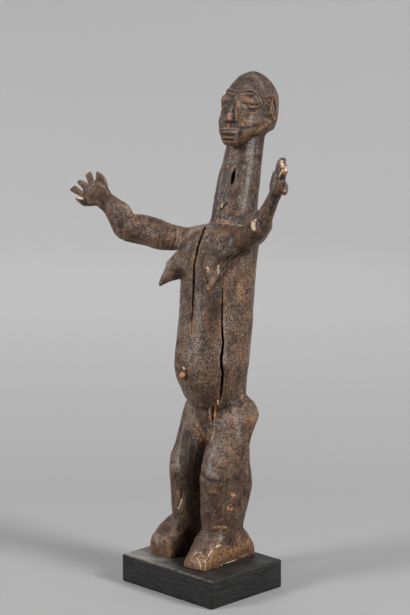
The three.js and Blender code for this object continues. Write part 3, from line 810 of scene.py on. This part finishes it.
MARKS["rose"] = [
    (1.5, (228.4, 114), (228.5, 119)), (0.7, (228.5, 124), (228.5, 127)), (0.5, (223, 133), (230, 133.4)),
]
MARKS["rust"] = [
    (2, (237, 142.4), (243, 141.6), (248.6, 139)), (2, (219.8, 147), (232, 150)), (2.2, (199.4, 545.7)),
    (2.4, (233, 552.4), (240, 549)), (1.6, (176, 227), (175.8, 238), (171, 251)),
    (1.4, (168, 233), (161, 234)), (4, (240.4, 282), (246, 300)), (2.6, (224.4, 278), (231, 270)),
    (2.2, (188.8, 421), (194, 428), (200, 434), (206, 440)), (4.5, (213, 487), (226, 512), (222, 522)),
    (2, (270.4, 196), (268, 206)), (3, (263, 232), (258, 246)), (1.6, (208, 428), (206.6, 438)),
    (1.8, (236, 468), (243, 476)), (1.8, (183, 480), (177, 485)), (2.6, (234, 190), (233, 204), (231, 218)),
    (3, (150, 228), (158, 240)), (3, (143, 222), (140, 232)), (2.2, (236.6, 197), (238, 207), (238.6, 216)),
    (1.8, (225, 211), (222, 218)), (2.6, (92, 189)), (2, (210, 552), (216, 560)),
    (3, (232, 500), (228, 518)),
]
# Mostly painted shade in creases and pits, beside and under the nose, under the mouth and under the left arm,
# with a few deeper-toned marks.
MARKS["dark"] = [
    (0.8, (225.2, 121.8), (228.5, 122.4), (231.8, 121.8)), (1.2, (233.4, 103), (232.6, 115)),
    (0.9, (268.9, 95.6)), (1.2, (239, 127.8), (245, 128.6)), (1.6, (241, 250.5), (249, 251.5), (255, 248)),
    (0.5, (175, 228), (175, 239)), (1.8, (282, 158), (283.4, 159)), (2.2, (284.4, 185.6)),
    (0.8, (283, 180.4), (286.6, 179.6)), (0.7, (281, 167.4), (280.2, 172)),
    (1.8, (276.6, 197), (273.6, 203), (271.4, 208)), (1.4, (186.4, 371.6), (187.4, 375.6), (186.2, 379.4)),
    (0.9, (205.4, 271)), (0.7, (226.4, 227.2)), (2.2, (201.6, 424)), (0.8, (179, 503), (178.6, 508.6)),
    (1.4, (229.4, 498)), (0.9, (79.2, 181.6)), (0.6, (226, 204), (222.6, 207.6), (220.6, 210)),
    (0.7, (231, 186), (230.6, 192)), (0.5, (175.6, 231), (175.8, 238)), (0.6, (173.6, 246), (171.4, 250.6)),
]


# Painted shade where other parts shade the wood, in creases and under the near sole, and a few darker patches
# of wood. Each row is a width, how much darker, and pixels.
PAINTED_SHADE_AND_DARKER_WOOD = [
    (7.5, 0.7, (188, 434), (188, 462), (187, 492), (187, 520), (183, 546)),
    (4, 0.85, (191, 446), (191, 500), (189, 540)),
    (4.5, 0.85, (176, 543), (177.6, 552), (180, 560), (183, 568)), (7, 0.5, (212.5, 292), (212, 330)),
    (6, 0.3, (210, 335), (208, 365)), (2.6, 0.45, (242, 150), (240, 170), (236, 196)),
    (5, 0.25, (164, 232), (160, 242)), (9, 0.45, (248, 77), (258, 86)), (8, 0.3, (214, 233), (226, 237)),
    (7, 0.15, (110, 205), (118, 218)), (1.3, 0.6, (75.4, 187.6), (73, 189.6)), (1.3, 0.6, (80, 180.6)),
    (1.3, 0.5, (89.6, 172.6)), (1.6, 0.5, (97.4, 173)), (3.5, 0.6, (241, 248), (250, 251), (256, 246)),
    (1.6, 0.45, (201, 473), (208, 481), (219, 482)), (1.2, 0.8, (186, 571.6), (198, 573.6), (212, 571)),
    (0.8, 0.7, (220, 567.4), (236, 561.4), (251, 555.6)), (2.6, 0.35, (196, 418), (203, 414), (212, 412)),
    (6, 0.3, (216, 505), (219, 515)),
]


def raw_gaps(points):
    """The pale walls of the cuts between the digits of the right hand."""
    values = np.zeros(len(points))
    for gap in GAPS:
        line = on_plane(np.linspace(gap[0], gap[1], 12), RIGHT_WRIST, right_plane())
        sides = np.linspace(-DIGIT_HALF, DIGIT_HALF, 6)
        slices = [line + right_plane() * side for side in sides]
        values = np.maximum(values, near(points, np.vstack(slices), 1.2))
    return values


def paint_figure(clay, paths):
    piece = clay.piece
    fresh = Clay(piece)
    points = fresh.points
    height = points[:, 2] - PLINTH_HEIGHT
    inside = np.zeros(len(points))
    rims = np.zeros(len(points))
    splits = np.zeros(len(points))
    for path in paths:
        close = np.flatnonzero(near(points, path, 6) > 0.02)
        for index in close:
            place, normal, _, _ = clay.surface.find_nearest(Vector(points[index]) * MM)
            depth = -(Vector(points[index]) * MM - place).dot(normal) / MM
            inside[index] = max(inside[index], float(ease(depth, 0.1, 0.5)))
        rims = np.maximum(rims, near(points, path, 1.9))
        splits = np.maximum(splits, near(points, path, 3.5))
    # Near-black painted shade inside the splits.
    paint(piece, "inside", inside)
    paint(piece, "rim", rims * (1 - inside))
    arms = ease(np.abs(points[:, 0]), 34, 46)
    feet = 1 - ease(height, 30, 80)
    shins = band(height, *SHINS, 26)
    head = ease(height, 270, 285)
    legs_between = np.exp(-((points[:, 0] / 13) ** 2)) * (1 - ease(height, 110, 140))
    chest = band(height, *BREASTS, 10) * (1 - ease(points[:, 1], 0, 14)) * (1 - arms)
    # Darker on the arms, shins, head and front of the chest, and painted shade between the legs.
    paint(piece, "shade", np.maximum.reduce([arms, 0.85 * shins, head, legs_between, 0.5 * chest]))
    start_values = {"tan": raw_gaps(points), "rust": 0.65 * np.maximum(arms, feet)}
    for name, rows in MARKS.items():
        values = start_values.get(name, np.zeros(len(points)))
        for width, *pixels in rows:
            values = np.maximum(values, near(points, clay.path(pixels), width))
        paint(piece, name, values)

    # Painted shade, with a few darker patches of wood.
    darkened = np.zeros(len(points))
    for width, amount, *pixels in PAINTED_SHADE_AND_DARKER_WOOD:
        darkened = np.maximum(darkened, amount * near(points, clay.path(pixels), width))
    paint(piece, "darkened", darkened)
    paint(piece, "mottled", np.maximum.reduce([head, 0.7 * arms, 0.5 * shins]))
    neck = band(height, *NECK, 10) * (1 - ease(np.abs(points[:, 0]), 26, 34))
    paint(piece, "fibres", np.maximum(neck, 0.5 * head * band(height, *CROWN, 8)))

    start = fresh.points.copy()
    fresh.smooth(6)
    swell = ((start - fresh.points) * fresh.normals).sum(1)
    paint(piece, "worn", ease(swell, 0.03, 0.22) * (1 - splits))
    # Darker in the hollows: painted shade, and the patina that gathers there.
    paint(piece, "hollow", ease(-swell, 0.03, 0.25))
    return piece


# Materials


class Nodes:
    """A material's node tree, with short names for the nodes that it uses."""

    def __init__(self, name):
        self.material = bpy.data.materials.new(name)
        self.material.use_nodes = True
        self.tree = self.material.node_tree
        self.shader = self.tree.nodes["Principled BSDF"]
        self.place = self.new("TexCoord").outputs["Object"]

    def new(self, kind):
        return self.tree.nodes.new("ShaderNode" + kind)

    def plug(self, socket, value):
        """Gives a socket a link, a colour, a value, or the mask of that name."""
        if isinstance(value, str):
            value = self.attribute(value)
        if isinstance(value, bpy.types.NodeSocket):
            self.tree.links.new(value, socket)
        elif isinstance(value, tuple) and len(value) == 3 and socket.type == "RGBA":
            socket.default_value = (*value, 1)
        else:
            socket.default_value = value

    def noise(self, size, detail=4, roughness=0.6, stretch=(1, 1, 1), shift=0):
        """Noise with lumps of that size in millimetres."""
        mapping = self.new("Mapping")
        self.plug(mapping.inputs["Vector"], self.place)
        mapping.inputs["Scale"].default_value = stretch
        mapping.inputs["Location"].default_value = (shift, shift, shift)
        made = self.new("TexNoise")
        self.plug(made.inputs["Vector"], mapping.outputs[0])
        made.inputs["Scale"].default_value = 1 / (size * MM)
        made.inputs["Detail"].default_value = detail
        made.inputs["Roughness"].default_value = roughness
        return made.outputs[0]

    def attribute(self, name):
        made = self.new("Attribute")
        made.attribute_name = name
        return made.outputs["Fac"]

    def math(self, operation, first, second=0.0):
        made = self.new("Math")
        made.operation = operation
        self.plug(made.inputs[0], first)
        self.plug(made.inputs[1], second)
        return made.outputs[0]

    def spread(self, value, low, high, start=0.0, end=1.0):
        made = self.new("MapRange")
        made.interpolation_type = "SMOOTHSTEP"
        self.plug(made.inputs["Value"], value)
        self.plug(made.inputs["From Min"], low)
        self.plug(made.inputs["From Max"], high)
        self.plug(made.inputs["To Min"], start)
        self.plug(made.inputs["To Max"], end)
        return made.outputs["Result"]

    def mix(self, share, first, second, blend="MIX"):
        made = self.new("Mix")
        made.data_type = "RGBA"
        made.blend_type = blend
        self.plug(made.inputs[0], share)
        self.plug(made.inputs[6], first)
        self.plug(made.inputs[7], second)
        return made.outputs[2]

    def bump(self, height, distance, strength, below=None):
        made = self.new("Bump")
        made.inputs["Distance"].default_value = distance * MM
        made.inputs["Strength"].default_value = strength
        self.plug(made.inputs["Height"], height)
        if below is not None:
            self.plug(made.inputs["Normal"], below)
        return made.outputs[0]

    def product(self, *values):
        total = values[0]
        for value in values[1:]:
            total = self.math("MULTIPLY", total, value)
        return total

    def coat(self, share, tint):
        """Lays a colour over the colour so far."""
        self.colour = self.mix(share, self.colour, tint)

    def finish(self, roughness, normal, specular):
        self.plug(self.shader.inputs["Specular IOR Level"], specular)
        self.plug(self.shader.inputs["Base Color"], self.colour)
        self.plug(self.shader.inputs["Roughness"], roughness)
        self.plug(self.shader.inputs["Normal"], normal)
        return self.material


DARK = (0.0118, 0.0056, 0.0033)
BROWN = (0.078, 0.041, 0.022)
OCHRE = (0.26, 0.136, 0.064)
LIGHT = (0.42, 0.29, 0.19)
RUST = (0.135, 0.042, 0.017)
PAINTED_HIGHLIGHT_GREY = (0.31, 0.26, 0.235)
TAN = (0.38, 0.195, 0.082)
ROSE = (0.48, 0.19, 0.115)
RAW_ORANGE = (0.46, 0.18, 0.07)
RAW_PALE = (0.62, 0.49, 0.35)
SPLIT_SHADE_BLACK = (0.0025, 0.0016, 0.0012)
PAINT = (0.0055, 0.0053, 0.0054)
PAINT_GRAIN = (0.022, 0.0205, 0.0195)
SCUFFS = (0.06, 0.056, 0.052)
TOP = (0.034, 0.031, 0.028)
DUST_AND_PAINTED_LIGHT = (0.24, 0.22, 0.195)
EDGE = (0.1, 0.088, 0.072)


def wood_material():
    nodes = Nodes("patinated_wood")
    clouds = nodes.noise(26, 5, 0.62)
    tints = nodes.noise(14, 6, 0.7, shift=13)
    patches = nodes.noise(8, 7, 0.72, shift=3)
    grain = nodes.noise(1.3, 4, 0.6, (1, 1, 0.14), shift=5)
    crust = nodes.noise(1.5, 4, 0.65, (1, 1, 0.9), shift=7)
    fine = nodes.noise(0.95, 3, 0.6, (1, 1, 1.3), shift=9)
    spread, coat, product = nodes.spread, nodes.coat, nodes.product

    def marked(name, low, high):
        return product(name, spread(crust, low, high))

    nodes.colour = DARK
    coat(spread(patches, 0.35, 0.59), BROWN)
    coat(product("rust", spread(clouds, 0.3, 0.58, 0.35)), RUST)
    coat(spread(clouds, 0.5, 0.64, 0, 0.6), RUST)
    coat(product(spread(crust, 0.5, 0.62), spread(tints, 0.38, 0.6, 0.2, 0.8)), OCHRE)
    coat(spread(fine, 0.55, 0.66, 0, 0.48), LIGHT)
    coat(spread(fine, 0.35, 0.47, 0.8, 0), DARK)
    coat(spread(crust, 0.36, 0.47, 0.65, 0), DARK)
    coat(spread(tints, 0.36, 0.5, 0.45, 0), DARK)
    coat(spread(grain, 0.36, 0.48, 0.25, 0), DARK)
    coat(product("fibres", spread(grain, 0.4, 0.49, 0.75, 0)), DARK)
    coat(product("fibres", spread(grain, 0.53, 0.62, 0, 0.5)), OCHRE)
    coat(product("mottled", spread(patches, 0.43, 0.53, 0.75, 0)), DARK)
    # Darker arms, shins, head and chest front, and painted shade between the legs.
    coat(product("shade", 0.55), DARK)
    coat(product("worn", 0.4), OCHRE)
    # Darker in the hollows: painted shade, and the patina that gathers there.
    coat(product("hollow", 0.8), DARK)
    # Painted highlight in pale grey on the glossy places.
    coat(product("sheen", spread(fine, 0.44, 0.58), 0.6), PAINTED_HIGHLIGHT_GREY)
    coat(product(marked("tan", 0.4, 0.58), 0.7), TAN)
    # Mostly painted shade in creases and pits.
    coat(product("dark", 0.85), DARK)
    coat(product(marked("rose", 0.34, 0.54), 0.8), ROSE)
    coat(product("rim", spread(patches, 0.46, 0.6, 0, 0.6)), TAN)
    # Painted shade, and a few darker patches of wood.
    coat("darkened", DARK)
    coat(spread(marked("orange", 0.3, 0.5), 0.15, 0.6, 0, 0.9), RAW_ORANGE)
    coat(spread(marked("pale", 0.28, 0.48), 0.15, 0.6, 0, 0.92), RAW_PALE)
    # Near-black painted shade inside the splits.
    coat("inside", SPLIT_SHADE_BLACK)

    gloss = nodes.math("MAXIMUM", "sheen", spread(tints, 0.4, 0.58, 0.3, 0.9))
    gloss = product(gloss, spread(crust, 0.38, 0.56, 0.3), spread("darkened", 0, 1, 1, 0.2))
    roughness = spread(gloss, 0, 1, 0.52, 0.26)
    specular = spread(gloss, 0, 1, 0.25, 0.75)
    relief = nodes.bump(crust, 0.75, 0.9)
    relief = nodes.bump(fine, 0.38, 0.8, relief)
    relief = nodes.bump(patches, 1.2, 0.5, relief)
    return nodes.finish(roughness, relief, specular)


def plinth_material():
    nodes = Nodes("black_painted_wood")
    grain = nodes.noise(1.5, 6, 0.75, (0.09, 0.09, 1), shift=2)
    scuffs = nodes.noise(9, 6, 0.7, shift=4)
    fine = nodes.noise(0.7, 3, 0.7, shift=6)
    nodes.colour = PAINT
    nodes.coat(nodes.spread(grain, 0.42, 0.62), PAINT_GRAIN)
    nodes.coat(nodes.spread(scuffs, 0.56, 0.76, 0, 0.4), SCUFFS)
    nodes.coat(nodes.product("top", 0.22), TOP)
    # Paler towards the left of the top: a powdery film, and painted light.
    nodes.coat(nodes.product("dust", nodes.spread(scuffs, 0.3, 0.6, 0.35)), DUST_AND_PAINTED_LIGHT)
    nodes.coat(nodes.product("edge", nodes.spread(scuffs, 0.44, 0.6)), EDGE)
    roughness = nodes.spread(scuffs, 0.35, 0.7, 0.4, 0.6)
    relief = nodes.bump(grain, 0.35, 0.7)
    relief = nodes.bump(fine, 0.1, 0.5, relief)
    return nodes.finish(roughness, relief, 0.32)


# Plinth
PITCH = 1.1  # between its vertices
EDGE_RADIUS = 1.7


def make_plinth():
    """A block like the CAD one, with soft uneven edges and a slightly wavy painted surface."""
    low, high = (np.array(corner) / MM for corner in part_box("plinth"))
    middle, half = (low + high) / 2, (high - low) / 2
    points, faces = [], []
    for axis in range(3):
        one, two = [other for other in range(3) if other != axis]
        counts = [max(2, int(2 * half[other] / PITCH)) for other in (one, two)]
        for sign in (-1, 1):
            first = len(points)
            for i in range(counts[0] + 1):
                for j in range(counts[1] + 1):
                    point = np.zeros(3)
                    point[axis] = sign * half[axis]
                    point[one] = half[one] * (2 * i / counts[0] - 1)
                    point[two] = half[two] * (2 * j / counts[1] - 1)
                    points.append(point)
            row = counts[1] + 1
            for i in range(counts[0]):
                for j in range(counts[1]):
                    a = first + i * row + j
                    face = (a, a + row, a + row + 1, a + 1)
                    outward = (sign > 0) == (axis != 1)
                    faces.append(face if outward else face[::-1])
    points = np.array(points)
    radius = EDGE_RADIUS + 0.4 * noise(points, 7)
    inner = np.clip(points, -half + radius[:, None], half - radius[:, None])
    outward = points - inner
    length = np.linalg.norm(outward, axis=1)
    corner = length > radius
    outward[corner] *= (radius[corner] / length[corner])[:, None]
    points = inner + outward
    sink = 0.10 * (1 + noise(points + 30, (12, 12, 5))) / 2
    above = points[:, 2] > -half[2] + 0.5
    points[above] *= 1 - (sink[above] / half.max())[:, None]
    piece = new_object("plinth_painted", mesh_from("plinth_painted", points + middle, faces))
    weld = piece.modifiers.new("weld", "WELD")
    weld.merge_threshold = 0.01 * MM
    apply_modifiers(piece)
    points = read(piece.data.vertices, "co", 3).astype(float) / MM
    gap = half - np.abs(points - middle)
    front = 1 - ease(gap[:, 1] * (points[:, 1] < 0) + 99 * (points[:, 1] > 0), 0.8, 3.4)
    paint(piece, "edge", front * ease(points[:, 2], high[2] - 1.2, high[2] - 0.5))
    # Paler towards the left of the top: a powdery film, and painted light.
    from_left = points @ across - low @ across
    left_share = 1 - ease(from_left, 4, 58)
    ends = ease(middle[1] - points[:, 1], -0.5 * half[1], half[1])
    dust = left_share * (0.45 + 0.55 * ends) * ease(points[:, 2], high[2] - 0.6, high[2] - 0.2)
    paint(piece, "dust", dust)
    # The top face is a little lighter than the sides.
    paint(piece, "top", ease(points[:, 2], high[2] - 0.9, high[2] - 0.3))
    dress(piece, plinth_material())
    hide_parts("plinth")
    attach(piece, "root")


# Studio

# Painted light and shade on the floor: how light it is, by metres behind the figure, darkest around the
# figure
PAINTED_FLOOR_SHADES = [
    (-4, 0.42), (-0.3, 0.235), (0.3, 0.25), (0.7, 0.34), (1.4, 0.54), (1.9, 0.64), (2.4, 0.7), (2.8, 0.64),
    (4, 0.53),
]
SHADE_FROM = PAINTED_FLOOR_SHADES[0][0]
SHADE_TO = PAINTED_FLOOR_SHADES[-1][0]
BACKDROP_GLOW = 0.06
WORLD_LIGHT = 0.2
FLOOR_REACH = 2400
FLOOR_BEND = 900
WALL_TOP = 2600
FLOOR_SIDES = 96

# Lights: name, place, height that it is aimed at, size and power
LIGHTS = [
    ("key", (1.70, 0.38, 1.35), 0.25, 0.6, 53),
    ("fill", (-0.66, -1.70, 1.1), 0.22, 0.6, 38),
    ("top", (-0.1, 0.2, 2.2), 0.2, 1.2, 5),
    ("back", (-1.9, 0.9, 1.9), 0.25, 1.6, 8),
]


def floor_material():
    """Pale, with painted light and shade set by how far behind the figure it is."""
    nodes = Nodes("studio_floor")
    nodes.plug(nodes.shader.inputs["Roughness"], 0.9)
    nodes.plug(nodes.shader.inputs["Emission Color"], (1, 1, 1))
    nodes.plug(nodes.shader.inputs["Emission Strength"], BACKDROP_GLOW)
    behind = np.array([toward[0], toward[1], 0])
    reach = nodes.new("VectorMath")
    reach.operation = "DOT_PRODUCT"
    nodes.plug(reach.inputs[0], nodes.place)
    nodes.plug(reach.inputs[1], behind / np.linalg.norm(behind))
    part = nodes.new("MapRange")
    nodes.plug(part.inputs["Value"], reach.outputs["Value"])
    nodes.plug(part.inputs["From Min"], SHADE_FROM)
    nodes.plug(part.inputs["From Max"], SHADE_TO)
    shade = nodes.new("ValToRGB")
    nodes.plug(shade.inputs[0], part.outputs[0])
    stops = shade.color_ramp.elements
    while len(stops) < len(PAINTED_FLOOR_SHADES):
        stops.new(0.5)
    for stop, (distance, value) in zip(stops, PAINTED_FLOOR_SHADES):
        stop.position = (distance - SHADE_FROM) / (SHADE_TO - SHADE_FROM)
        stop.color = (value, value, value, 1)
    nodes.plug(nodes.shader.inputs["Base Color"], shade.outputs[0])
    return nodes.material


def make_bowl():
    """A pale floor that curves up all round, far outside every camera."""
    profile = [(0, 0), (FLOOR_REACH / 2, 0), (FLOOR_REACH, 0)]
    for turn in np.linspace(0, math.pi / 2, 13)[1:]:
        profile.append((FLOOR_REACH + FLOOR_BEND * math.sin(turn), FLOOR_BEND * (1 - math.cos(turn))))
    profile.append((FLOOR_REACH + FLOOR_BEND, WALL_TOP))
    points, faces = [(0, 0, 0)], []
    for reach, height in profile[1:]:
        for side in range(FLOOR_SIDES):
            turn = 2 * math.pi * side / FLOOR_SIDES
            points.append((reach * math.cos(turn), reach * math.sin(turn), height))
    for side in range(FLOOR_SIDES):
        after = (side + 1) % FLOOR_SIDES
        faces.append((0, 1 + side, 1 + after))
        for ring in range(len(profile) - 2):
            a, b = 1 + ring * FLOOR_SIDES, 1 + (ring + 1) * FLOOR_SIDES
            faces.append((a + side, b + side, b + after, a + after))
    bowl = new_object("studio_floor", mesh_from("studio_floor", points, faces))
    dress(bowl, floor_material())


def make_light(name, place, aim, size, power):
    data = bpy.data.lights.new(name, "AREA")
    data.shape = "DISK"
    data.size = size
    data.energy = power
    light = new_object(name, data)
    light.location = place
    light.rotation_euler = (Vector((0, 0, aim)) - Vector(place)).to_track_quat("-Z", "Y").to_euler()


def make_studio():
    make_bowl()
    for light in LIGHTS:
        make_light(*light)
    world = bpy.data.worlds.new("studio")
    world.use_nodes = True
    background = world.node_tree.nodes["Background"]
    background.inputs["Color"].default_value = (1, 1, 1, 1)
    background.inputs["Strength"].default_value = WORLD_LIGHT
    bpy.context.scene.world = world
    bpy.context.scene.view_settings.view_transform = "Standard"


def make_camera():
    data = bpy.data.cameras.new("camera")
    data.lens = LENS
    data.sensor_width = SENSOR
    camera = new_object("camera", data)
    camera.location = Vector(CAMERA_AT) * MM
    camera.rotation_euler = Vector(toward).to_track_quat("-Z", "Y").to_euler()
    bpy.context.scene.camera = camera


figure_clay, split_paths = carve_figure()
figure = paint_figure(figure_clay, split_paths)
dress(figure, wood_material())
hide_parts("figure")
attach(figure, "root")
make_plinth()
make_studio()
make_camera()
